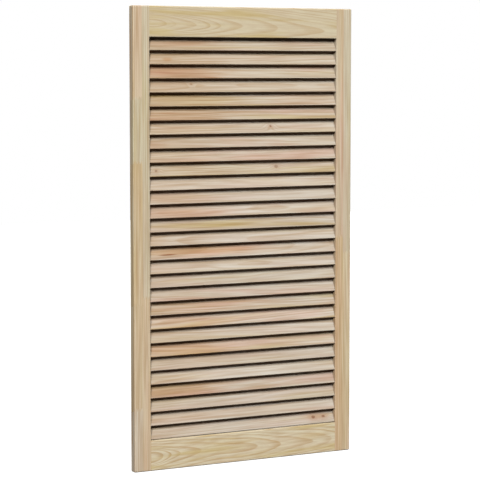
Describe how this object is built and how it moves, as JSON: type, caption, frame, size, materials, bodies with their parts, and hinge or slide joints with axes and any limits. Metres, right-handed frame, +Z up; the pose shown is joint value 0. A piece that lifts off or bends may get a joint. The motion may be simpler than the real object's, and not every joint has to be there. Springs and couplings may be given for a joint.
{
  "type": "louvred wardrobe door",
  "caption": "Solid pine wardrobe door leaf: two stiles and two rails round a ladder of fixed slats that lean back and end in leaning housings.",
  "frame": {"origin": "middle of the hinge edge: the flat outer edge of the left stile as seen from the front, halfway up and halfway through the leaf", "axes": "+X across the leaf from the hinge edge to the closing edge, +Y from the front face to the back face, +Z up along the stiles"},
  "size_m": [0.594, 0.021, 1.1],
  "materials": {
    "stile_pine": "planed and sanded, no varnish or oil",
    "rail_pine": "planed and sanded, no varnish or oil",
    "slat_pine": "planed and sanded, no varnish or oil",
    "dowel_beech": "fluted dowel rod, hidden in the joints"
  },
  "bodies": {
    "root": {"left_stile": "stile_pine", "right_stile": "stile_pine", "top_rail": "rail_pine", "bottom_rail": "rail_pine", "slat_01": "slat_pine", "slat_02": "slat_pine", "slat_03": "slat_pine", "slat_04": "slat_pine", "slat_05": "slat_pine", "slat_06": "slat_pine", "slat_07": "slat_pine", "slat_08": "slat_pine", "slat_09": "slat_pine", "slat_10": "slat_pine", "slat_11": "slat_pine", "slat_12": "slat_pine", "slat_13": "slat_pine", "slat_14": "slat_pine", "slat_15": "slat_pine", "slat_16": "slat_pine", "slat_17": "slat_pine", "slat_18": "slat_pine", "slat_19": "slat_pine", "slat_20": "slat_pine", "slat_21": "slat_pine", "slat_22": "slat_pine", "slat_23": "slat_pine", "slat_24": "slat_pine", "slat_25": "slat_pine", "slat_26": "slat_pine", "slat_27": "slat_pine", "slat_28": "slat_pine", "slat_29": "slat_pine", "dowel_left_top_upper": "dowel_beech", "dowel_left_top_lower": "dowel_beech", "dowel_left_bottom_upper": "dowel_beech", "dowel_left_bottom_lower": "dowel_beech", "dowel_right_top_upper": "dowel_beech", "dowel_right_top_lower": "dowel_beech", "dowel_right_bottom_upper": "dowel_beech", "dowel_right_bottom_lower": "dowel_beech"}
  },
  "joints": []
}
